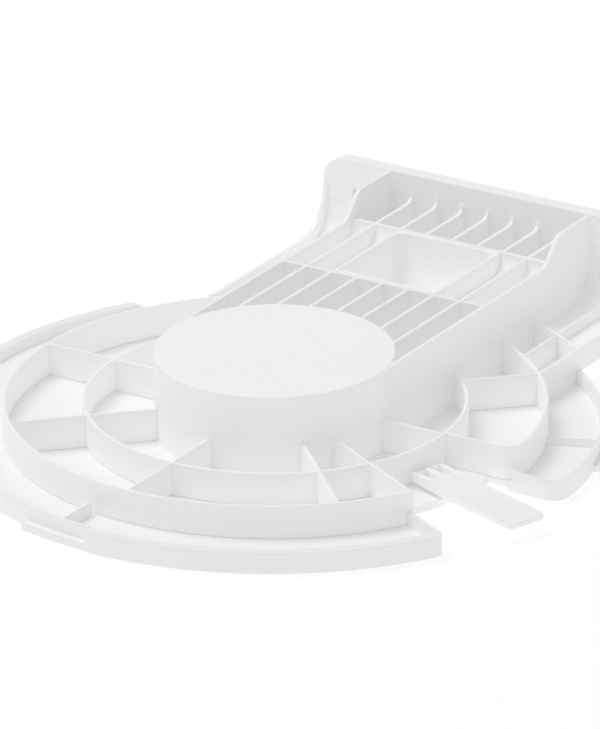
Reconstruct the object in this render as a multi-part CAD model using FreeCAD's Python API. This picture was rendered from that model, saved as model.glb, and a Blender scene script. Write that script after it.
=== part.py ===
import FreeCAD, Part
import math
import os

os.makedirs("parts", exist_ok=True)

# Dish drying rack: round drip tray, ringed cup rack, ribbed plate stand, backboard.
# Millimetres. Origin: underside of the middle foot, under the pedestal's axis.
# +Z up, +Y towards the backboard, +X to the right seen from the front.

# overall heights above the ground
FOOT_STAND_OFF = 1.2
Z_BASE = FOOT_STAND_OFF
FLOOR_T = 3.6
Z_FLOOR = Z_BASE + FLOOR_T
Z_RIM = Z_BASE + 11.2
Z_SIDE_LIP = Z_RIM - 1.6
Z_RING = Z_BASE + 22.2
Z_DECK = Z_BASE + 49.6
Z_STEP = Z_BASE + 64.2
Z_BACK = Z_BASE + 64.8

# radii measured from the pedestal's axis
R_PEDESTAL = 65.0
R_INNER_RING = 103.8
R_OUTER_RING = 146.5
R_RIM = 177.0
LIP_W = 6.0
R_LIP = R_RIM + LIP_W
R_LEDGE_LIP = R_LIP - 1.0
LEDGE_SHARE = 0.614
R_LEDGE = R_INNER_RING + LEDGE_SHARE * (R_OUTER_RING - R_INNER_RING)

# wall thicknesses and clearances
RING_T = 2.0
RIM_T = 2.4
RIB_T = 1.6
SLAT_T = 2.0
THICK_RIB_T = 2.4
SHELL_T = 2.4
GAP = 0.3
EDGE_ROUND = 0.5
BLUNT_T = 0.8

# angles in degrees, anticlockwise from +X
NOTCH_LEFT_A = -28.4
FRONT_LIP_END_A = -29.0
FRONT_LIP_START_A = -91.5
FRONT_LEDGE_A = -105.0
SIDE_LIP_START_A = 147.0
SIDE_LIP_END_A = 184.0
SIDE_LEDGE_A = 197.0

# plate stand behind the pedestal
STAND_HALF_X = 65.0
STAND_WALL_T = 2.0
SLAT_PITCH = 16.3
SLAT_COUNT = 7
Y_BAR_FRONT = 109.2
Y_BAR_REAR = 182.0
BAR_T = 2.0
Y_BACKBOARD = 222.0
Y_WALL_STEP = 175.4
WALL_STEP_A = 47.0
STEP_BEND_SHARE = 0.55

# backboard and side channels
BACK_HALF_X = 106.5
BACK_CORNER_R = 12.0
BACK_FLANGE_DEPTH = 9.0
CHANNEL_HALF_X = BACK_HALF_X
CHANNEL_FLOOR_T = 2.0
SHELF_TOP = Z_BASE + 16.0
SWEEP_R = 24.0
WALL_SWEEP_R = 27.0
CHANNEL_WALL_TOP = Z_RING + 0.4
SHELF_WALL_BOTTOM = SHELF_TOP - 6.7
CHANNEL_BOTTOM = SHELF_TOP - BACK_FLANGE_DEPTH
CHANNEL_RIB_X = 84.8

# lift-out tub between the two cross bars
TUB_HALF_X = 33.0
TUB_WALL_T = 2.0
TUB_END_T = 3.4
TUB_FLOOR_T = 2.4
TUB_SCOOP_R = 36.0
TUB_CORNER_R = 7.0

# folding drain spout
SPOUT_A = -19.7
SPOUT_ROOT_X = 103.0
SPOUT_ROOT_Y = -17.0
SPOUT_LENGTH = 87.0
SPOUT_ROOT_W = 21.0
SPOUT_TIP_W = 24.6
SPOUT_TOP = Z_BASE + 11.2
SPOUT_SLOPE_A = 1.1
SPOUT_TIP_T = 2.3
SPOUT_PIN_S = 3.8
SPOUT_PIN_Z = Z_BASE + 8.8
PIN_R = 1.1
PIN_RUNNING_CLEARANCE = 0.05
PIN_SEAT_CLEARANCE = 0.02
KNUCKLE_R = 2.4

UP = FreeCAD.Vector(0, 0, 1)


def vec(x, y, z):
    return FreeCAD.Vector(x, y, z)


def save(name, shape):
    shape = shape.removeSplitter()
    solids = shape.Solids
    if len(solids) == 1:
        shape = solids[0]
    shape.exportStep("parts/" + name + ".step")


def block(x0, x1, y0, y1, z0, z1):
    return Part.makeBox(x1 - x0, y1 - y0, z1 - z0, vec(x0, y0, z0))


def cylinder(r, z0, z1, x=0.0, y=0.0):
    return Part.makeCylinder(r, z1 - z0, vec(x, y, z0))


def wedge(r0, r1, a0, a1, z0, z1):
    """Ring sector between two radii and two angles in degrees."""
    span = a1 - a0
    outer = Part.makeCylinder(r1, z1 - z0, vec(0, 0, z0), UP, span)
    outer.rotate(vec(0, 0, 0), UP, a0)
    if r0 <= 0:
        return outer
    return outer.cut(cylinder(r0, z0 - 1, z1 + 1))


def prism_z(points, z0, z1):
    wire = Part.makePolygon([vec(x, y, z0) for x, y in points + points[:1]])
    return Part.Face(wire).extrude(vec(0, 0, z1 - z0))


def prism_x(edges, x0, x1):
    face = Part.Face(Part.Wire(edges))
    return face.extrude(vec(x1 - x0, 0, 0))


def line(a, b):
    return Part.makeLine(a, b)


def on_arc_yz(x, cy, cz, r, a):
    """Point on a circle in a plane of constant x, angle from +Y towards +Z."""
    return vec(x, cy + r * math.cos(math.radians(a)), cz + r * math.sin(math.radians(a)))


def arc_yz(x, cy, cz, r, a0, a1):
    """Circular edge in a plane of constant x, angles from +Y towards +Z."""
    start = on_arc_yz(x, cy, cz, r, a0)
    middle = on_arc_yz(x, cy, cz, r, (a0 + a1) / 2)
    end = on_arc_yz(x, cy, cz, r, a1)
    return Part.Arc(start, middle, end).toShape()


def radial_blade(angle, r0, r1, thickness, z0, z1):
    """Upright blade along a radius with ends curved to fit the two rings."""
    blade = block(r0 - 4, r1 + 4, -thickness / 2, thickness / 2, z0, z1)
    blade.rotate(vec(0, 0, 0), UP, angle)
    annulus = cylinder(r1, z0 - 1, z1 + 1).cut(cylinder(r0, z0 - 2, z1 + 2))
    return blade.common(annulus)


def mirrored(shape):
    return shape.mirror(vec(0, 0, 0), vec(1, 0, 0))


def soften_top(shape, z, radius, keep=None):
    """Round the edges that lie wholly at height z."""
    edges = []
    for edge in shape.Edges:
        box = edge.BoundBox
        if abs(box.ZMin - z) < 1e-4 and abs(box.ZMax - z) < 1e-4:
            if keep is None or keep(edge):
                edges.append(edge)
    return shape.makeFillet(radius, edges)


def fillet_upright(shape, x, y, radius):
    """Round the vertical edge that passes nearest to a plan position."""
    best = None
    best_d = 1e9
    for edge in shape.Edges:
        box = edge.BoundBox
        if box.XLength < 1e-4 and box.YLength < 1e-4:
            d = math.hypot(box.XMin - x, box.YMin - y)
            if d < best_d:
                best = edge
                best_d = d
    return shape.makeFillet(radius, [best])


# ---------------------------------------------------------------- drip tray
LOBE_CORNER_R = 9.0
LOBE_END_A = 75.0
LOW_RIB_X = -22.0
LOW_RIB_Y = (-(R_RIM - 3.5), -(R_OUTER_RING + 1.0))
LOBE_RIB_A = 23.0
LOBE_RIB_TOP = Z_BASE + 8.0
LOBE_LEDGE_A = (15.0, 36.0)
LEDGE_TOP = Z_BASE + 4.0
END_WALL_A = 0.85
CHEEK_Y = 4.6
CHEEK_FOOT_X = R_OUTER_RING - 2.0
CHANNEL_CLEAR_R = R_OUTER_RING + GAP

plate = cylinder(R_RIM, Z_BASE, Z_FLOOR)
rear_cut = wedge(CHANNEL_CLEAR_R, R_LIP + 20, 0.0, SIDE_LIP_START_A, Z_BASE - 1, Z_FLOOR + 1)
plate = plate.cut(rear_cut)
notch_cut = wedge(R_LEDGE, R_LIP + 20, FRONT_LIP_END_A, 0.0, Z_BASE - 1, Z_FLOOR + 1)
plate = plate.cut(notch_cut)
plate = plate.cut(block(R_LEDGE, CHEEK_FOOT_X, -1, CHEEK_Y, Z_BASE - 1, Z_FLOOR + 1))

lobe = wedge(0, R_RIM, 0.0, LOBE_END_A, Z_BASE, Z_RIM)
lobe = fillet_upright(lobe, R_RIM, 0.0, LOBE_CORNER_R)
lobe_hollow = wedge(0, R_RIM - RIM_T, 0.0, LOBE_END_A, Z_FLOOR, Z_RIM + 1)
lobe_hollow = lobe_hollow.common(block(0, 200, RIM_T, 200, Z_FLOOR, Z_RIM + 1))
lobe_hollow = fillet_upright(lobe_hollow, R_RIM - RIM_T, RIM_T, LOBE_CORNER_R - RIM_T)
lobe = lobe.cut(lobe_hollow)
lobe = lobe.cut(cylinder(CHANNEL_CLEAR_R, Z_BASE - 1, Z_RIM + 1))
lobe = lobe.cut(block(0, CHANNEL_HALF_X, 60, 220, Z_BASE - 1, Z_RIM + 1))
lobe_sill = block(CHANNEL_HALF_X - RIM_T, CHANNEL_HALF_X, 60, 220, Z_BASE, CHANNEL_BOTTOM)
lobe_sill = lobe_sill.common(wedge(CHANNEL_CLEAR_R + RING_T, R_RIM, 0, LOBE_END_A, Z_BASE, Z_RIM))
lobe = lobe.fuse(lobe_sill)

deck = block(-STAND_HALF_X, STAND_HALF_X, 60, Y_BACKBOARD, Z_BASE, Z_FLOOR)

rim = wedge(R_RIM - RIM_T, R_RIM, SIDE_LIP_END_A, 360 + FRONT_LIP_START_A, Z_BASE, Z_RIM)
end_wall = radial_blade(SIDE_LIP_START_A, CHANNEL_CLEAR_R, R_RIM, RIM_T, Z_BASE, Z_SIDE_LIP)
low_rib = block(LOW_RIB_X - RIB_T / 2, LOW_RIB_X + RIB_T / 2, LOW_RIB_Y[0], LOW_RIB_Y[1], Z_BASE, Z_RIM)
lobe_rib = radial_blade(LOBE_RIB_A, CHANNEL_CLEAR_R, R_RIM - 1, RIB_T, Z_BASE, LOBE_RIB_TOP)
lobe_ledge = wedge(R_RIM - 1, R_LEDGE_LIP, LOBE_LEDGE_A[0], LOBE_LEDGE_A[1], Z_BASE, LEDGE_TOP)
notch_wall = wedge(
    CHANNEL_CLEAR_R, R_RIM, FRONT_LIP_END_A - END_WALL_A, FRONT_LIP_END_A, Z_BASE, Z_RIM)

# two ears on the notch ledge carry the spout's hinge pin
spout_dir = vec(math.cos(math.radians(SPOUT_A)), math.sin(math.radians(SPOUT_A)), 0)
spout_root = vec(SPOUT_ROOT_X, SPOUT_ROOT_Y, 0)
PRONG_T = (-9.0, 0.0, 9.0)
PRONG_W = 2.4
EAR_T = (-4.5, 4.5)
EAR_W = 3.6
EAR_R = 2.2


def to_spout_place(shape):
    """Turn and move a shape drawn along +X from the spout's root."""
    shape.rotate(vec(0, 0, 0), UP, SPOUT_A)
    shape.translate(spout_root)
    return shape


def cross_cylinder(r, s, z, t0, t1):
    return Part.makeCylinder(r, t1 - t0, vec(s, t0, z), vec(0, 1, 0))


ears = []
for t in EAR_T:
    post = block(
        SPOUT_PIN_S - EAR_R, SPOUT_PIN_S + EAR_R, t - EAR_W / 2, t + EAR_W / 2,
        Z_BASE, SPOUT_PIN_Z)
    post = post.fuse(cross_cylinder(EAR_R, SPOUT_PIN_S, SPOUT_PIN_Z, t - EAR_W / 2, t + EAR_W / 2))
    bore = cross_cylinder(PIN_R + PIN_SEAT_CLEARANCE, SPOUT_PIN_S, SPOUT_PIN_Z, t - EAR_W, t + EAR_W)
    ears.append(to_spout_place(post.cut(bore)))

tray = plate.multiFuse([lobe, deck, rim, end_wall, low_rib, lobe_rib, lobe_ledge, notch_wall] + ears)

# shallow pockets underneath for the feet, and screw holes under the pedestal
FOOT_R = 8.0
FOOT_T = 2.0
FOOT_RING_R = (R_OUTER_RING + R_RIM) / 2 - 3.0
FOOT_ANGLES = (-150.0, -110.0, -60.0, 30.0, 168.0)
FOOT_REAR = (50.0, 204.0)
foot_places = [(0.0, 0.0)]
for a in FOOT_ANGLES:
    foot_places.append((FOOT_RING_R * math.cos(math.radians(a)), FOOT_RING_R * math.sin(math.radians(a))))
foot_places.append((-FOOT_REAR[0], FOOT_REAR[1]))
foot_places.append((FOOT_REAR[0], FOOT_REAR[1]))

SCREW_RING_R = 40.0
SCREW_COUNT = 4
SCREW_HOLE_R = 1.8
SCREW_HEAD_R = 3.0
SCREW_HEAD_H = 1.4
SCREW_SHANK_R = 1.45
SCREW_LENGTH = 14.0
screw_places = []
for i in range(SCREW_COUNT):
    a = math.radians(45.0 + 360.0 * i / SCREW_COUNT)
    screw_places.append((SCREW_RING_R * math.cos(a), SCREW_RING_R * math.sin(a)))

cuts = []
for x, y in foot_places:
    cuts.append(cylinder(FOOT_R + 0.2, Z_BASE - 1, FOOT_T, x, y))
for x, y in screw_places:
    cuts.append(cylinder(SCREW_HOLE_R, Z_BASE - 1, Z_FLOOR + 1, x, y))
    cuts.append(cylinder(SCREW_HEAD_R + 0.3, Z_BASE - 1, Z_BASE + SCREW_HEAD_H + 0.2, x, y))
tray = tray.cut(Part.makeCompound(cuts))
save("drip_tray", tray)

feet = []
for x, y in foot_places:
    feet.append(soften_top(cylinder(FOOT_R, 0, FOOT_T, x, y), 0, 0.4))
Part.makeCompound(feet).exportStep("parts/rubber_feet.step")

screws = []
for x, y in screw_places:
    head = cylinder(SCREW_HEAD_R, Z_BASE + 0.2, Z_BASE + 0.2 + SCREW_HEAD_H, x, y)
    shank = cylinder(SCREW_SHANK_R, Z_BASE + 0.2, Z_BASE + SCREW_LENGTH, x, y)
    recess = cylinder(0.9, Z_BASE, Z_BASE + 1.0, x, y)
    screws.append(head.fuse(shank).cut(recess).removeSplitter())
Part.makeCompound(screws).exportStep("parts/base_screws.step")

# ------------------------------------------------------- clip-on outer lips
LIP_CHANNEL_WALL = 1.6
LIP_CORNER_R = 5.0
LIP_STEP_R = 2.5


def outer_lip(a0, a1, ledge_a0, ledge_a1, round_a, top):
    """Hollow lip with its free end well rounded and the end beside the ledge eased."""
    body = wedge(R_RIM, R_LIP, a0, a1, Z_BASE, top)
    for a, radius in ((round_a, LIP_CORNER_R), (a0 + a1 - round_a, LIP_STEP_R)):
        edge_x = R_LIP * math.cos(math.radians(a))
        edge_y = R_LIP * math.sin(math.radians(a))
        body = fillet_upright(body, edge_x, edge_y, radius)
    inset = math.degrees(LIP_CHANNEL_WALL / R_RIM) * 2.5
    trough = wedge(
        R_RIM + LIP_CHANNEL_WALL, R_LIP - LIP_CHANNEL_WALL, a0 + inset, a1 - inset,
        Z_BASE - 1, top - 2.0)
    body = body.cut(trough)
    ledge = wedge(R_RIM, R_LEDGE_LIP, ledge_a0, ledge_a1, Z_BASE, LEDGE_TOP)
    return body.fuse(ledge)


front_lip = outer_lip(
    FRONT_LIP_START_A, FRONT_LIP_END_A, FRONT_LEDGE_A, FRONT_LIP_START_A,
    FRONT_LIP_END_A, Z_RIM)
side_lip = outer_lip(
    SIDE_LIP_START_A, SIDE_LIP_END_A, SIDE_LIP_END_A, SIDE_LEDGE_A,
    SIDE_LIP_START_A, Z_SIDE_LIP)
save("front_lip", front_lip)
save("side_lip", side_lip)

# ---------------------------------------------------------------- pedestal
PEDESTAL_ROUND = 1.2
BOSS_R = 4.5
BOSS_TOP = Z_BASE + 22.0
pedestal = cylinder(R_PEDESTAL, Z_FLOOR, Z_DECK)
pedestal = soften_top(pedestal, Z_DECK, PEDESTAL_ROUND)
pedestal = pedestal.cut(cylinder(R_PEDESTAL - SHELL_T, Z_FLOOR - 1, Z_DECK - SHELL_T))
BOSS_WEB_T = 1.8
for x, y in screw_places:
    boss = cylinder(BOSS_R, Z_FLOOR, BOSS_TOP, x, y)
    a = math.degrees(math.atan2(y, x))
    web = block(
        SCREW_RING_R, R_PEDESTAL - SHELL_T + 0.5, -BOSS_WEB_T / 2, BOSS_WEB_T / 2,
        Z_FLOOR, BOSS_TOP)
    web.rotate(vec(0, 0, 0), UP, a)
    pedestal = pedestal.fuse(boss.fuse(web))
for x, y in screw_places:
    pedestal = pedestal.cut(cylinder(1.5, Z_FLOOR - 1, Z_BASE + SCREW_LENGTH + 1, x, y))
save("pedestal", pedestal)

# ------------------------------------------------ lift-out ringed cup rack
Z_RACK = Z_FLOOR + GAP
R_CLEAR_PEDESTAL = R_PEDESTAL + GAP
STAND_CLEAR_X = STAND_HALF_X + GAP
CHEEK_CORNER_R = 9.0
RING_RIGHT_START_A = 6.0


def ring_wall(r1, a0, a1):
    """Upright ring wall with a rounded top edge, turned from its section."""
    r0 = r1 - RING_T
    e = EDGE_ROUND
    k = e * (1 - math.sqrt(0.5))
    z = Z_RING
    edges = [
        line(vec(r0, 0, Z_RACK), vec(r0, 0, z - e)),
        Part.Arc(vec(r0, 0, z - e), vec(r0 + k, 0, z - k), vec(r0 + e, 0, z)).toShape(),
        line(vec(r0 + e, 0, z), vec(r1 - e, 0, z)),
        Part.Arc(vec(r1 - e, 0, z), vec(r1 - k, 0, z - k), vec(r1, 0, z - e)).toShape(),
        line(vec(r1, 0, z - e), vec(r1, 0, Z_RACK)),
        line(vec(r1, 0, Z_RACK), vec(r0, 0, Z_RACK)),
    ]
    wall = Part.Face(Part.Wire(edges)).revolve(vec(0, 0, 0), UP, a1 - a0)
    wall.rotate(vec(0, 0, 0), UP, a0)
    return wall


# each wall stops a little short of the plate stand's sides
R_INNER_IN = R_INNER_RING - RING_T
R_OUTER_IN = R_OUTER_RING - RING_T
inner_end_a = math.degrees(math.acos(STAND_CLEAR_X / R_INNER_IN))
outer_end_a = math.degrees(math.acos(STAND_CLEAR_X / R_OUTER_IN))
save("inner_ring", ring_wall(R_INNER_RING, 180 - inner_end_a, 360 + inner_end_a))
save("outer_ring_left", ring_wall(R_OUTER_RING, 180 - outer_end_a, 360 + NOTCH_LEFT_A))
save("outer_ring_right", ring_wall(R_OUTER_RING, RING_RIGHT_START_A, outer_end_a))

INNER_BLADES = (
    ("front_left", -135.0, RIB_T),
    ("front", -90.0, RIB_T),
    ("front_right", -45.0, THICK_RIB_T),
    ("left", 180.0, RIB_T),
    ("notch", NOTCH_LEFT_A - 0.5, RIB_T),
)
OUTER_BLADES = (
    ("front_left", -135.0, RIB_T),
    ("front", -90.0, RIB_T),
    ("front_right", -45.0, THICK_RIB_T),
    ("left", 180.0, RIB_T),
    ("rear_left", 135.5, RIB_T),
    ("rear_right", 44.5, RIB_T),
)
for name, a, thickness in INNER_BLADES:
    blade = radial_blade(a, R_CLEAR_PEDESTAL, R_INNER_IN, thickness, Z_RACK, Z_RING)
    save("inner_divider_" + name, soften_top(blade, Z_RING, EDGE_ROUND))
for name, a, thickness in OUTER_BLADES:
    blade = radial_blade(a, R_INNER_RING, R_OUTER_IN, thickness, Z_RACK, Z_RING)
    save("outer_divider_" + name, soften_top(blade, Z_RING, EDGE_ROUND))

DIVIDER_RIGHT_Y = 4.2
right_y0 = DIVIDER_RIGHT_Y - RIB_T / 2
right_y1 = DIVIDER_RIGHT_Y + RIB_T / 2
right_blade = block(R_PEDESTAL - 4, R_INNER_RING, right_y0, right_y1, Z_RACK, Z_RING)
right_blade = right_blade.cut(cylinder(R_CLEAR_PEDESTAL, 0, Z_DECK))
right_blade = right_blade.common(cylinder(R_INNER_IN, 0, Z_DECK))
save("inner_divider_right", soften_top(right_blade, Z_RING, EDGE_ROUND))

cheek_left = radial_blade(NOTCH_LEFT_A - 0.4, R_INNER_RING, R_OUTER_IN, RING_T, Z_RACK, Z_RING)
save("notch_cheek_left", soften_top(cheek_left, Z_RING, EDGE_ROUND))

# right cheek: straight wall with a rounded corner that runs into the outer ring
corner_out = cylinder(R_OUTER_RING, Z_RACK, Z_RING).common(block(0, 200, CHEEK_Y, 200, Z_RACK, Z_RING))
corner_x = math.sqrt(R_OUTER_RING ** 2 - CHEEK_Y ** 2)
corner_out = fillet_upright(corner_out, corner_x, CHEEK_Y, CHEEK_CORNER_R)
corner_in = cylinder(R_OUTER_IN, Z_RACK - 1, Z_RING + 1)
corner_in = corner_in.common(block(0, 200, CHEEK_Y + RING_T, 200, Z_RACK - 1, Z_RING + 1))
inner_x = math.sqrt(R_OUTER_IN ** 2 - (CHEEK_Y + RING_T) ** 2)
corner_in = fillet_upright(corner_in, inner_x, CHEEK_Y + RING_T, CHEEK_CORNER_R - RING_T)
cheek_right = corner_out.cut(corner_in)
cheek_right = cheek_right.cut(cylinder(R_INNER_RING, 0, Z_DECK))
cheek_right = cheek_right.common(wedge(0, R_RIM, 0.0, RING_RIGHT_START_A, 0, Z_DECK))
save("notch_cheek_right", cheek_right)

# -------------------------------------------------------------- plate stand
step_bend_r = STEP_BEND_SHARE * (Z_STEP - Z_DECK)
bend_run = step_bend_r * math.tan(math.radians(WALL_STEP_A / 2))
y_bend_low = Y_WALL_STEP - bend_run
y_bend_high = Y_WALL_STEP + (Z_STEP - Z_DECK) / math.tan(math.radians(WALL_STEP_A)) + bend_run
x_in = STAND_HALF_X - STAND_WALL_T
WALL_TIP_T = 0.25
y_tip = math.sqrt(R_PEDESTAL ** 2 - (STAND_HALF_X - WALL_TIP_T) ** 2)
wall_edges = [
    line(vec(x_in, y_tip, Z_FLOOR), vec(x_in, y_tip, Z_DECK)),
    line(vec(x_in, y_tip, Z_DECK), vec(x_in, y_bend_low, Z_DECK)),
    arc_yz(x_in, y_bend_low, Z_DECK + step_bend_r, step_bend_r, -90, -90 + WALL_STEP_A),
    line(
        on_arc_yz(x_in, y_bend_low, Z_DECK + step_bend_r, step_bend_r, -90 + WALL_STEP_A),
        on_arc_yz(x_in, y_bend_high, Z_STEP - step_bend_r, step_bend_r, 90 + WALL_STEP_A)),
    arc_yz(x_in, y_bend_high, Z_STEP - step_bend_r, step_bend_r, 90 + WALL_STEP_A, 90),
    line(vec(x_in, y_bend_high, Z_STEP), vec(x_in, Y_BACKBOARD, Z_STEP)),
    line(vec(x_in, Y_BACKBOARD, Z_STEP), vec(x_in, Y_BACKBOARD, Z_FLOOR)),
    line(vec(x_in, Y_BACKBOARD, Z_FLOOR), vec(x_in, y_tip, Z_FLOOR)),
]
stand_wall = prism_x(wall_edges, x_in, STAND_HALF_X)
stand_wall = stand_wall.cut(cylinder(R_PEDESTAL, 0, Z_BACK))
save("stand_wall_right", stand_wall)
save("stand_wall_left", mirrored(stand_wall))

bar_front = block(-x_in, x_in, Y_BAR_FRONT, Y_BAR_FRONT + BAR_T, Z_FLOOR, Z_DECK)
bar_rear = block(-x_in, x_in, Y_BAR_REAR, Y_BAR_REAR + BAR_T, Z_FLOOR, Z_DECK)
save("cross_bar_front", bar_front)
save("cross_bar_rear", bar_rear)

CURL_R = 4.6
LAST_CURL_R = 3.2
SLAT_START_Y = 5.0
half_count = (SLAT_COUNT - 1) // 2
y_bar_back = Y_BAR_REAR + BAR_T
for i in range(SLAT_COUNT):
    x = (i - half_count) * SLAT_PITCH
    x0 = x - SLAT_T / 2
    x1 = x + SLAT_T / 2
    front = block(x0, x1, SLAT_START_Y, Y_BAR_FRONT, Z_FLOOR, Z_DECK)
    front = front.cut(cylinder(R_PEDESTAL, 0, Z_BACK))
    save("front_slat_" + str(i + 1), front)
    curl_r = LAST_CURL_R if i == SLAT_COUNT - 1 else CURL_R
    y_curl = Y_BACKBOARD - curl_r - BLUNT_T
    rear_edges = [
        line(vec(x0, y_bar_back, Z_FLOOR), vec(x0, y_bar_back, Z_DECK)),
        line(vec(x0, y_bar_back, Z_DECK), vec(x0, y_curl, Z_DECK)),
        arc_yz(x0, y_curl, Z_DECK + curl_r, curl_r, -90, 0),
        line(vec(x0, Y_BACKBOARD - BLUNT_T, Z_DECK + curl_r), vec(x0, Y_BACKBOARD, Z_DECK + curl_r)),
        line(vec(x0, Y_BACKBOARD, Z_DECK + curl_r), vec(x0, Y_BACKBOARD, Z_FLOOR)),
        line(vec(x0, Y_BACKBOARD, Z_FLOOR), vec(x0, y_bar_back, Z_FLOOR)),
    ]
    save("rear_slat_" + str(i + 1), prism_x(rear_edges, x0, x1))

# shallow troughs beside the tub, each split into two bays by a middle slat
y_mid0 = Y_BAR_FRONT + BAR_T
TROUGH_DEPTH = 11.6
TROUGH_T = 2.0
z_trough = Z_DECK - TROUGH_DEPTH
y_round = Y_BAR_REAR - TROUGH_DEPTH - BLUNT_T
trough_x0 = TUB_HALF_X + GAP
trough_edges = [
    line(vec(trough_x0, y_mid0, z_trough - TROUGH_T), vec(trough_x0, y_mid0, z_trough)),
    line(vec(trough_x0, y_mid0, z_trough), vec(trough_x0, y_round, z_trough)),
    arc_yz(trough_x0, y_round, Z_DECK, TROUGH_DEPTH, -90, 0),
    line(vec(trough_x0, Y_BAR_REAR - BLUNT_T, Z_DECK), vec(trough_x0, Y_BAR_REAR, Z_DECK)),
    line(vec(trough_x0, Y_BAR_REAR, Z_DECK), vec(trough_x0, Y_BAR_REAR, z_trough - TROUGH_T)),
    line(vec(trough_x0, Y_BAR_REAR, z_trough - TROUGH_T), vec(trough_x0, y_mid0, z_trough - TROUGH_T)),
]
trough = prism_x(trough_edges, trough_x0, x_in)
slat_x = SLAT_PITCH * half_count
mid_slat = block(slat_x - SLAT_T / 2, slat_x + SLAT_T / 2, y_mid0, Y_BAR_REAR, z_trough, Z_DECK)
mid_slat = mid_slat.cut(trough)
save("side_trough_right", trough)
save("side_trough_left", mirrored(trough))
save("middle_slat_right", mid_slat)
save("middle_slat_left", mirrored(mid_slat))

# --------------------------------------------------------- lift-out tub
tub_y0 = Y_BAR_FRONT + BAR_T + GAP
tub_y1 = Y_BAR_REAR - GAP
tub_z0 = Z_FLOOR + GAP
tub = block(-TUB_HALF_X, TUB_HALF_X, tub_y0, tub_y1, tub_z0, Z_DECK)
in_x = TUB_HALF_X - TUB_WALL_T
in_y0 = tub_y0 + TUB_END_T
in_y1 = tub_y1 - TUB_END_T
in_z0 = tub_z0 + TUB_FLOOR_T
y_scoop = in_y1 - TUB_SCOOP_R
z_scoop = in_z0 + TUB_SCOOP_R
hollow_edges = [
    line(vec(-in_x, in_y0, in_z0), vec(-in_x, in_y0, Z_DECK + 1)),
    line(vec(-in_x, in_y0, Z_DECK + 1), vec(-in_x, in_y1, Z_DECK + 1)),
    line(vec(-in_x, in_y1, Z_DECK + 1), vec(-in_x, in_y1, z_scoop)),
    arc_yz(-in_x, y_scoop, z_scoop, TUB_SCOOP_R, 0, -90),
    line(vec(-in_x, y_scoop, in_z0), vec(-in_x, in_y0, in_z0)),
]
hollow = prism_x(hollow_edges, -in_x, in_x)
long_edges = []
for edge in hollow.Edges:
    box = edge.BoundBox
    on_side = box.XLength < 1e-4
    if on_side and box.YMax > in_y0 + 1 and box.ZMin < Z_DECK:
        long_edges.append(edge)
hollow = hollow.makeFillet(TUB_CORNER_R, long_edges)
tub = tub.cut(hollow)
# the space below the scoop is open underneath, so the floor keeps an even thickness
under = block(-in_x, in_x, y_scoop, in_y1, tub_z0 - 1, z_scoop)
scoop_skin = Part.makeCylinder(
    TUB_SCOOP_R + TUB_FLOOR_T, 2 * in_x + 2, vec(-in_x - 1, y_scoop, z_scoop), vec(1, 0, 0))
tub = tub.cut(under.cut(scoop_skin))
save("utensil_tub", tub)

# --------------------------------------------------------------- backboard
y_back_rear = Y_BACKBOARD + BACK_FLANGE_DEPTH
z_sweep = SHELF_TOP + SWEEP_R


def back_outline(inset, y0, y1):
    """Upright slab with its two top corners rounded."""
    half = BACK_HALF_X - inset
    high = Z_BACK - inset
    shape = block(-half, half, y0, y1, z_sweep + inset, high)
    edges = []
    for edge in shape.Edges:
        box = edge.BoundBox
        if box.XLength < 1e-4 and box.ZLength < 1e-4 and box.ZMin > high - 1:
            edges.append(edge)
    return shape.makeFillet(BACK_CORNER_R - inset, edges)


back = back_outline(0, Y_BACKBOARD, y_back_rear)
back = back.cut(back_outline(SHELL_T, Y_BACKBOARD + SHELL_T, y_back_rear + 1))
lower_top = z_sweep + SHELL_T
lower = block(-STAND_HALF_X, STAND_HALF_X, Y_BACKBOARD, Y_BACKBOARD + SHELL_T, Z_BASE, lower_top)
back = back.fuse(lower)
SLOT_X = 86.2
SLOT_HALF_W = 2.0
SLOT_Z0 = Z_BASE + 41.9
SLOT_Z1 = Z_BASE + 48.9
POCKET_DEPTH = 6.0
POCKET_T = 1.6
for side in (-1, 1):
    x0 = side * SLOT_X - SLOT_HALF_W
    x1 = side * SLOT_X + SLOT_HALF_W
    y_pocket = Y_BACKBOARD + POCKET_DEPTH
    shell = block(
        x0 - POCKET_T, x1 + POCKET_T, Y_BACKBOARD, y_pocket + POCKET_T,
        SLOT_Z0 - POCKET_T, SLOT_Z1 + POCKET_T)
    back = back.fuse(shell)
    back = back.cut(block(x0, x1, Y_BACKBOARD - 1, y_pocket, SLOT_Z0, SLOT_Z1))
save("backboard", back)

# ----------------------------------------------------------- side channels
y_sweep = Y_BACKBOARD - SWEEP_R
wall_x0 = CHANNEL_HALF_X - RIM_T
y_wall_sweep = Y_BACKBOARD - WALL_SWEEP_R - BLUNT_T
z_wall_sweep = CHANNEL_WALL_TOP + WALL_SWEEP_R
outer_r = SWEEP_R + BACK_FLANGE_DEPTH
z_outer = SHELF_WALL_BOTTOM + outer_r
outer_start_a = -math.degrees(math.asin((z_outer - z_sweep) / outer_r))
y_outer = y_sweep + outer_r * math.cos(math.radians(outer_start_a))
skin_r = SWEEP_R + SHELL_T
Y_START = 90.0
Y_CHANNEL_END = R_RIM + 13.0
channel_top = CHANNEL_BOTTOM + CHANNEL_FLOOR_T

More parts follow.
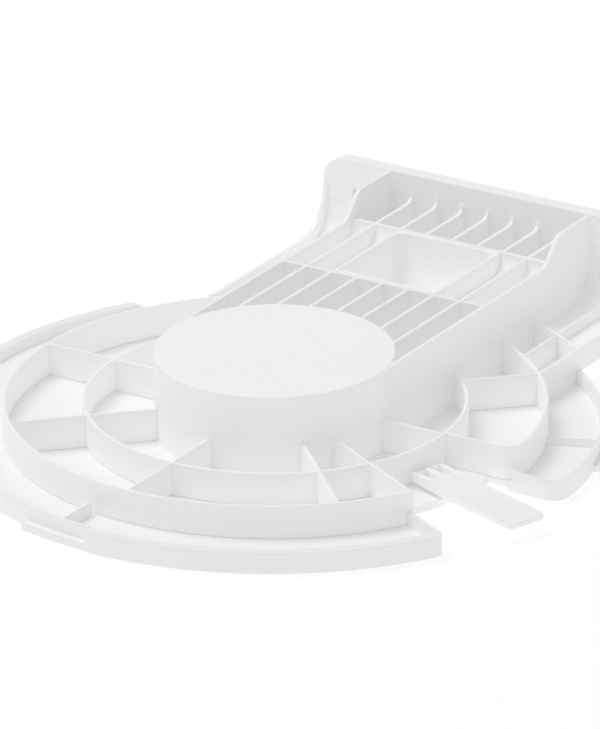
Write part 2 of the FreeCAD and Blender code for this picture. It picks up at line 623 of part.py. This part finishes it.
# upstanding outer wall whose top edge sweeps up into the backboard
outer_edges = [
    line(vec(wall_x0, Y_START, SHELF_WALL_BOTTOM), vec(wall_x0, Y_START, CHANNEL_WALL_TOP)),
    line(vec(wall_x0, Y_START, CHANNEL_WALL_TOP), vec(wall_x0, y_wall_sweep, CHANNEL_WALL_TOP)),
    arc_yz(wall_x0, y_wall_sweep, z_wall_sweep, WALL_SWEEP_R, -90, 0),
    line(vec(wall_x0, Y_BACKBOARD - BLUNT_T, z_wall_sweep), vec(wall_x0, Y_BACKBOARD, z_wall_sweep)),
    line(vec(wall_x0, Y_BACKBOARD, z_wall_sweep), vec(wall_x0, Y_BACKBOARD, z_sweep)),
    line(vec(wall_x0, Y_BACKBOARD, z_sweep), vec(wall_x0, y_outer, z_sweep)),
    arc_yz(wall_x0, y_sweep, z_outer, outer_r, outer_start_a, -90),
    line(vec(wall_x0, y_sweep, SHELF_WALL_BOTTOM), vec(wall_x0, Y_START, SHELF_WALL_BOTTOM)),
]
outer_wall = prism_x(outer_edges, wall_x0, CHANNEL_HALF_X)
outer_wall = outer_wall.cut(cylinder(CHANNEL_CLEAR_R, 0, Z_DECK))

# raised shelf that curves up to the backboard
shelf_z0 = SHELF_TOP - SHELL_T
shelf_edges = [
    line(vec(STAND_HALF_X, Y_START, shelf_z0), vec(STAND_HALF_X, Y_START, SHELF_TOP)),
    line(vec(STAND_HALF_X, Y_START, SHELF_TOP), vec(STAND_HALF_X, y_sweep, SHELF_TOP)),
    arc_yz(STAND_HALF_X, y_sweep, z_sweep, SWEEP_R, -90, 0),
    line(vec(STAND_HALF_X, Y_BACKBOARD, z_sweep), vec(STAND_HALF_X, y_sweep + skin_r, z_sweep)),
    arc_yz(STAND_HALF_X, y_sweep, z_sweep, skin_r, 0, -90),
    line(vec(STAND_HALF_X, y_sweep, shelf_z0), vec(STAND_HALF_X, Y_START, shelf_z0)),
]
shelf = prism_x(shelf_edges, STAND_HALF_X, wall_x0)
shelf = shelf.cut(cylinder(R_RIM, 0, Z_DECK))

# sunken floor between the cup rack and the dam, with a riser down to the tray
annulus = cylinder(R_RIM, 0, Z_DECK).cut(cylinder(CHANNEL_CLEAR_R, -1, Z_DECK + 1))
channel_floor = block(STAND_HALF_X, wall_x0, Y_START, Y_CHANNEL_END, CHANNEL_BOTTOM, channel_top)
channel_floor = channel_floor.common(annulus)
cell_wall = block(wall_x0, CHANNEL_HALF_X, Y_START, Y_CHANNEL_END, CHANNEL_BOTTOM, CHANNEL_WALL_TOP)
cell_wall = cell_wall.common(annulus)
riser = block(STAND_HALF_X, CHANNEL_HALF_X, Y_START, Y_CHANNEL_END, Z_BASE, CHANNEL_BOTTOM)
riser = riser.common(wedge(CHANNEL_CLEAR_R, CHANNEL_CLEAR_R + RING_T, 0, 90, 0, Z_DECK))
channel = outer_wall.multiFuse([shelf, channel_floor, cell_wall, riser])
save("side_channel_right", channel)
save("side_channel_left", mirrored(channel))

DAM_T = 2.0
dam = block(STAND_HALF_X, wall_x0, Y_START, Y_CHANNEL_END, channel_top, Z_RING)
dam = dam.common(wedge(R_RIM - DAM_T, R_RIM, 0, 90, 0, Z_DECK))
save("channel_dam_right", dam)
save("channel_dam_left", mirrored(dam))

rib_x0 = CHANNEL_RIB_X - RIB_T / 2
rib_x1 = CHANNEL_RIB_X + RIB_T / 2
rib_front = block(rib_x0, rib_x1, Y_START, Y_CHANNEL_END, channel_top, Z_RING)
rib_front = rib_front.common(wedge(CHANNEL_CLEAR_R, R_RIM - DAM_T, 0, 90, 0, Z_DECK))
rib_rear = block(rib_x0, rib_x1, Y_START, y_sweep, SHELF_TOP, Z_RING).cut(cylinder(R_RIM, 0, Z_DECK))
sweep_bowl = Part.makeCylinder(SWEEP_R, 2 * RIB_T, vec(rib_x0 - RIB_T / 2, y_sweep, z_sweep), vec(1, 0, 0))
rib_tail = block(rib_x0, rib_x1, y_sweep, Y_BACKBOARD, SHELF_TOP, Z_RING).common(sweep_bowl)
rib_rear = rib_rear.fuse(rib_tail)
save("channel_rib_front_right", rib_front)
save("channel_rib_front_left", mirrored(rib_front))
save("channel_rib_rear_right", rib_rear)
save("channel_rib_rear_left", mirrored(rib_rear))

# ------------------------------------------------------- folding drain spout
SPOUT_KEEL_Z = SPOUT_PIN_Z - KNUCKLE_R
SPOUT_KEEL_S = 26.0
VALLEY_START_S = 8.4
VALLEY_END_S = 28.0
VALLEY_TIP_W = 1.0
VALLEY_LOW_Z = SPOUT_KEEL_Z + 1.2
TAB_S = (19.0, 28.5, 33.5, 36.5)
TAB_REACH = 7.0
TAB_T = 2.4
SPOUT_CORNER_R = 3.5
half_span = SPOUT_TIP_W


def prism_t(points, t0, t1):
    wire = Part.makePolygon([vec(s, t0, z) for s, z in points + points[:1]])
    return Part.Face(wire).extrude(vec(0, t1 - t0, 0))


profile = [
    (SPOUT_PIN_S, SPOUT_KEEL_Z),
    (SPOUT_KEEL_S, SPOUT_KEEL_Z),
    (SPOUT_LENGTH, SPOUT_TOP - SPOUT_TIP_T),
    (SPOUT_LENGTH, SPOUT_TOP),
    (SPOUT_PIN_S, SPOUT_TOP),
]
spout = prism_t(profile, -half_span, half_span)
spout = spout.fuse(cross_cylinder(KNUCKLE_R, SPOUT_PIN_S, SPOUT_PIN_Z, -half_span, half_span))
outline = [
    (0.0, -SPOUT_ROOT_W / 2),
    (SPOUT_LENGTH, -SPOUT_TIP_W / 2),
    (SPOUT_LENGTH, SPOUT_TIP_W / 2),
    (0.0, SPOUT_ROOT_W / 2),
]
spout = spout.common(prism_z(outline, Z_BASE, SPOUT_TOP + 1))
spout = spout.removeSplitter()
spout = fillet_upright(spout, SPOUT_LENGTH, -SPOUT_TIP_W / 2, SPOUT_CORNER_R)
spout = fillet_upright(spout, SPOUT_LENGTH, SPOUT_TIP_W / 2, SPOUT_CORNER_R)
edge_t = SPOUT_ROOT_W / 2
tab_outline = [
    (TAB_S[0], edge_t - 2),
    (TAB_S[0], edge_t),
    (TAB_S[1], edge_t + TAB_REACH),
    (TAB_S[2], edge_t + TAB_REACH),
    (TAB_S[3], edge_t),
    (TAB_S[3], edge_t - 2),
]
tab = prism_z(tab_outline, SPOUT_TOP - TAB_T, SPOUT_TOP)
tab = fillet_upright(tab, TAB_S[1], edge_t + TAB_REACH, 2.0)
tab = fillet_upright(tab, TAB_S[2], edge_t + TAB_REACH, 2.0)
spout = spout.fuse(tab)
valley = [
    (0.0, Z_BASE),
    (VALLEY_START_S, Z_BASE),
    (VALLEY_START_S, VALLEY_LOW_Z),
    (VALLEY_END_S, SPOUT_TOP),
    (VALLEY_END_S, SPOUT_TOP + 2),
    (0.0, SPOUT_TOP + 2),
]
valley_w = PRONG_T[2] - PRONG_T[1] - PRONG_W
for t in EAR_T:
    taper = [
        (0.0, t - valley_w / 2),
        (VALLEY_END_S, t - VALLEY_TIP_W / 2),
        (VALLEY_END_S, t + VALLEY_TIP_W / 2),
        (0.0, t + valley_w / 2),
    ]
    groove = prism_t(valley, t - valley_w, t + valley_w)
    spout = spout.cut(groove.common(prism_z(taper, Z_BASE - 1, SPOUT_TOP + 3)))
running_r = PIN_R + PIN_RUNNING_CLEARANCE
spout = spout.cut(cross_cylinder(running_r, SPOUT_PIN_S, SPOUT_PIN_Z, -half_span, half_span))
spout.rotate(vec(SPOUT_PIN_S, 0, SPOUT_PIN_Z), vec(0, 1, 0), SPOUT_SLOPE_A)
save("drain_spout", to_spout_place(spout))

PIN_HALF_L = 10.4
pin = cross_cylinder(PIN_R, SPOUT_PIN_S, SPOUT_PIN_Z, -PIN_HALF_L, PIN_HALF_L)
save("spout_pin", to_spout_place(pin))
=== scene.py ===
import math

import bpy
from mathutils import Euler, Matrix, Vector

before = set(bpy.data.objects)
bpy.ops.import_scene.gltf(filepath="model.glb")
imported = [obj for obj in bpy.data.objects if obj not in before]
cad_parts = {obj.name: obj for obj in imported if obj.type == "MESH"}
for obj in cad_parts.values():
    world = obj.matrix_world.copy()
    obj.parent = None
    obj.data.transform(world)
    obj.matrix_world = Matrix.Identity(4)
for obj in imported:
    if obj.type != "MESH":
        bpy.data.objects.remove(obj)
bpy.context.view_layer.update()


# ------------------------------------------------------------ node helpers
class Graph:
    """A material's node tree, built a node at a time."""

    def __init__(self, name):
        self.mat = bpy.data.materials.new(name)
        self.mat.use_nodes = True
        self.tree = self.mat.node_tree
        self.tree.nodes.clear()
        self.out = self.tree.nodes.new("ShaderNodeOutputMaterial")
        self.bsdf = self.tree.nodes.new("ShaderNodeBsdfPrincipled")
        self.link(self.bsdf.outputs["BSDF"], self.out.inputs["Surface"])

    def node(self, kind, **values):
        n = self.tree.nodes.new(kind)
        for key, value in values.items():
            setattr(n, key, value)
        return n

    def link(self, a, b):
        self.tree.links.new(a, b)

    def put(self, socket, value):
        if isinstance(value, bpy.types.NodeSocket):
            self.link(value, socket)
        else:
            socket.default_value = value

    def place(self):
        return self.node("ShaderNodeTexCoord").outputs["Object"]

    def stretched(self, scale):
        m = self.node("ShaderNodeMapping")
        self.link(self.place(), m.inputs["Vector"])
        m.inputs["Scale"].default_value = scale
        return m.outputs["Vector"]

    def noise(self, scale, detail=2.0, rough=0.5, where=None):
        n = self.node("ShaderNodeTexNoise")
        self.link(where or self.place(), n.inputs["Vector"])
        n.inputs["Scale"].default_value = scale
        n.inputs["Detail"].default_value = detail
        n.inputs["Roughness"].default_value = rough
        return n.outputs["Fac"]

    def math(self, op, a, b=0.0, c=0.0, clamp=False):
        n = self.node("ShaderNodeMath", operation=op, use_clamp=clamp)
        self.put(n.inputs[0], a)
        self.put(n.inputs[1], b)
        self.put(n.inputs[2], c)
        return n.outputs[0]

    def remap(self, value, lo, hi, to_lo, to_hi):
        n = self.node("ShaderNodeMapRange")
        self.put(n.inputs["Value"], value)
        n.inputs["From Min"].default_value = lo
        n.inputs["From Max"].default_value = hi
        n.inputs["To Min"].default_value = to_lo
        n.inputs["To Max"].default_value = to_hi
        return n.outputs["Result"]

    def blend(self, fac, a, b):
        n = self.node("ShaderNodeMix", data_type="RGBA")
        self.put(n.inputs["Factor"], fac)
        self.put(n.inputs["A"], a)
        self.put(n.inputs["B"], b)
        return n.outputs["Result"]

    def edge_mask(self, radius, sharpness):
        """1 on rounded-over edges, 0 on open faces."""
        bevel = self.node("ShaderNodeBevel", samples=4)
        bevel.inputs["Radius"].default_value = radius
        flat = self.node("ShaderNodeNewGeometry").outputs["Normal"]
        dot = self.node("ShaderNodeVectorMath", operation="DOT_PRODUCT")
        self.link(bevel.outputs["Normal"], dot.inputs[0])
        self.link(flat, dot.inputs[1])
        turned = self.math("SUBTRACT", 1.0, dot.outputs["Value"])
        return self.math("MULTIPLY", turned, sharpness, clamp=True)

    def bump(self, height, distance, strength, radius=0.0):
        """Grain, on top of softly rounded edges where a radius is given."""
        n = self.node("ShaderNodeBump")
        self.link(height, n.inputs["Height"])
        if radius > 0.0:
            bevel = self.node("ShaderNodeBevel", samples=4)
            bevel.inputs["Radius"].default_value = radius
            self.link(bevel.outputs["Normal"], n.inputs["Normal"])
        n.inputs["Distance"].default_value = distance
        n.inputs["Strength"].default_value = strength
        self.link(n.outputs["Normal"], self.bsdf.inputs["Normal"])


# --------------------------------------------------------------- materials
POLYPROPYLENE_IOR = 1.49
SKIN_DEPTH = 0.0015
# painted fill light: emission strength given to the white plastic
PAINTED_FILL_GLOW = 0.09
EDGE_WIDTH = 0.0009


def tinted(base, factor):
    """The base colour made darker or lighter, as RGBA."""
    return tuple(min(1.0, c * factor) for c in base) + (1.0,)


def moulded_plastic(name, base, flow=(9.0, 9.0, 2.5), satin=0.42, glow=0.06, round_edge=0.0004):
    """White moulded polypropylene: faint flow marks, fine eroded grain, edges polished smoother and
    painted lighter as a painted highlight.
    """
    g = Graph(name)
    cloud = g.noise(3.2, 3.0, 0.55, g.stretched(flow))
    mottle = g.noise(160.0, 2.0, 0.5)
    shade = g.math("ADD", g.math("MULTIPLY", cloud, 0.7), g.math("MULTIPLY", mottle, 0.3))
    body = g.blend(g.remap(shade, 0.35, 0.65, 0.0, 1.0), tinted(base, 0.988), tinted(base, 1.004))
    # rounded edges: the mask lowers roughness (polish) and paints the colour up to 4% lighter (painted
    # highlight)
    edge_polish_and_painted_highlight = g.edge_mask(EDGE_WIDTH, 3.0)
    colour = g.blend(g.math("MULTIPLY", edge_polish_and_painted_highlight, 0.6), body, tinted(base, 1.04))
    g.link(colour, g.bsdf.inputs["Base Color"])
    grain = g.noise(2600.0, 2.0, 0.6)
    sheen = g.remap(mottle, 0.3, 0.7, satin - 0.05, satin + 0.06)
    g.link(g.math("ADD", sheen, g.math("MULTIPLY", edge_polish_and_painted_highlight, -0.10)), g.bsdf.inputs["Roughness"])
    waviness = g.noise(45.0, 1.0, 0.4)
    height = g.math("ADD", g.math("MULTIPLY", grain, 0.25), waviness)
    g.bump(height, 0.00012, 0.22, round_edge)
    g.bsdf.inputs["Subsurface Weight"].default_value = glow
    g.bsdf.inputs["Subsurface Radius"].default_value = (1.0, 0.95, 0.9)
    g.bsdf.inputs["Subsurface Scale"].default_value = SKIN_DEPTH
    g.bsdf.inputs["IOR"].default_value = POLYPROPYLENE_IOR
    # painted light: a faint white emission brightens every face, shaded ones too, as a painted fill glow
    g.bsdf.inputs["Emission Color"].default_value = (1.0, 1.0, 1.0, 1.0)
    g.bsdf.inputs["Emission Strength"].default_value = PAINTED_FILL_GLOW
    return g.mat


def foot_rubber(name):
    """Matt grey rubber with a fine speck."""
    g = Graph(name)
    speck = g.noise(900.0, 3.0, 0.6)
    g.link(g.blend(speck, (0.26, 0.26, 0.255, 1.0), (0.36, 0.36, 0.35, 1.0)), g.bsdf.inputs["Base Color"])
    g.link(g.remap(speck, 0.3, 0.7, 0.72, 0.9), g.bsdf.inputs["Roughness"])
    g.bump(speck, 0.0001, 0.3, 0.0003)
    return g.mat


def turned_steel(name):
    """Plain steel with fine lathe marks round the shank."""
    g = Graph(name)
    lathe = g.noise(700.0, 3.0, 0.6, g.stretched((1.0, 1.0, 14.0)))
    g.link(g.blend(lathe, (0.50, 0.50, 0.51, 1.0), (0.66, 0.66, 0.67, 1.0)), g.bsdf.inputs["Base Color"])
    g.link(g.remap(lathe, 0.3, 0.7, 0.24, 0.4), g.bsdf.inputs["Roughness"])
    g.bump(lathe, 0.00005, 0.3, 0.0002)
    g.bsdf.inputs["Metallic"].default_value = 1.0
    return g.mat


WHITE = (0.93, 0.93, 0.93)
# painted light and painted shade: the rack's, pedestal's and tub's white is a lighter copy of the same
# plastic and the tray's a darker copy, standing in for light and shade
WHITE_PAINTED_LIGHT = (0.955, 0.955, 0.955)
WHITE_TRAY_PAINTED_SHADE = (0.90, 0.90, 0.90)
# painted shade: the clip-on lips get a darker copy of the same white, standing in for shade on the outer
# rim walls
WHITE_LIP_PAINTED_SHADE = (0.875, 0.875, 0.875)
tray_plastic = moulded_plastic("tray_plastic_white", WHITE_TRAY_PAINTED_SHADE)
lip_plastic = moulded_plastic("lip_plastic_white", WHITE_LIP_PAINTED_SHADE, flow=(3.0, 3.0, 12.0), satin=0.4)
rack_plastic = moulded_plastic("cup_rack_plastic_white", WHITE_PAINTED_LIGHT, flow=(4.0, 4.0, 16.0), satin=0.4)
stand_plastic = moulded_plastic(
    "plate_stand_plastic_white", WHITE, flow=(10.0, 2.0, 8.0), satin=0.43, round_edge=0.0)
back_plastic = moulded_plastic("backboard_plastic_white", WHITE, flow=(3.0, 8.0, 8.0), satin=0.43)
drum_plastic = moulded_plastic("pedestal_plastic_white", WHITE_PAINTED_LIGHT, flow=(5.0, 5.0, 5.0), satin=0.45)
tub_plastic = moulded_plastic("tub_plastic_white", WHITE_PAINTED_LIGHT, flow=(6.0, 6.0, 6.0), satin=0.38)
spout_plastic = moulded_plastic("spout_plastic_white", WHITE, flow=(2.0, 9.0, 6.0), satin=0.38)
rubber = foot_rubber("foot_rubber_grey")
steel = turned_steel("fastener_steel")

LOOKS = (
    (("rubber_feet",), rubber),
    (("base_screws",), steel),
    (("front_lip", "side_lip"), lip_plastic),
    (("inner_", "outer_", "notch_"), rack_plastic),
    (("stand_wall", "cross_bar", "front_slat"), stand_plastic),
    (("rear_slat", "middle_slat", "side_trough"), stand_plastic),
    (("backboard", "side_channel", "channel_"), back_plastic),
    (("pedestal",), drum_plastic),
    (("utensil_tub",), tub_plastic),
    (("drain_spout", "spout_pin"), spout_plastic),
    (("drip_tray",), tray_plastic),
)
for name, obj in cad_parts.items():
    look = next(mat for starts, mat in LOOKS if name.startswith(starts))
    obj.data.materials.clear()
    obj.data.materials.append(look)


# ------------------------------------------------------------------- stage
FLOOR_HALF = 9.0
FLOOR_SHADE = 0.25
FLOOR_GLOW = 0.785
AIR_STRENGTH = 0.54
KEY_PLACE = (-1.5, -0.3, 3.8)
KEY_SIZE = 2.4
KEY_WATTS = 57.0


def studio_floor():
    """Plain white sweep that the rack stands on."""
    mesh = bpy.data.meshes.new("studio_floor")
    corners = [(x * FLOOR_HALF, y * FLOOR_HALF, 0) for x, y in ((-1, -1), (1, -1), (1, 1), (-1, 1))]
    mesh.from_pydata(corners, [], [(0, 1, 2, 3)])
    floor = bpy.data.objects.new("studio_floor", mesh)
    bpy.context.scene.collection.objects.link(floor)
    g = Graph("studio_floor_white")
    g.bsdf.inputs["Base Color"].default_value = (FLOOR_SHADE, FLOOR_SHADE, FLOOR_SHADE, 1.0)
    g.bsdf.inputs["Roughness"].default_value = 0.9
    g.bsdf.inputs["Specular IOR Level"].default_value = 0.1
    g.bsdf.inputs["Emission Color"].default_value = (1.0, 1.0, 1.0, 1.0)
    g.bsdf.inputs["Emission Strength"].default_value = FLOOR_GLOW
    mesh.materials.append(g.mat)


def area_light(name, where, aim, size, power):
    """Round soft lamp turned towards a point."""
    data = bpy.data.lights.new(name, "AREA")
    data.shape = "DISK"
    data.size = size
    data.energy = power
    lamp = bpy.data.objects.new(name, data)
    bpy.context.scene.collection.objects.link(lamp)
    lamp.location = where
    lamp.rotation_euler = (Vector(aim) - Vector(where)).to_track_quat("-Z", "Y").to_euler()


studio_floor()
world = bpy.data.worlds.new("studio_air")
world.use_nodes = True
air = world.node_tree.nodes["Background"]
air.inputs["Color"].default_value = (1.0, 1.0, 1.0, 1.0)
air.inputs["Strength"].default_value = AIR_STRENGTH
bpy.context.scene.world = world
area_light("key_softbox", KEY_PLACE, (0.0, 0.0, 0.0), KEY_SIZE, KEY_WATTS)

# ------------------------------------------------------------------ camera
CAMERA_PLACE = (2.3711, -3.7703, 1.9092)
CAMERA_TURN_DEG = (67.256, 0.2324, 31.896)
CAMERA_LENS_MM = 445.6

camera_data = bpy.data.cameras.new("photo_camera")
camera_data.sensor_width = 36.0
camera_data.lens = CAMERA_LENS_MM
camera_data.clip_start = 0.1
camera_data.clip_end = 60.0
camera = bpy.data.objects.new("photo_camera", camera_data)
bpy.context.scene.collection.objects.link(camera)
camera.location = CAMERA_PLACE
camera.rotation_euler = Euler([math.radians(a) for a in CAMERA_TURN_DEG], "XYZ")
bpy.context.scene.camera = camera
bpy.context.scene.view_settings.view_transform = "Standard"
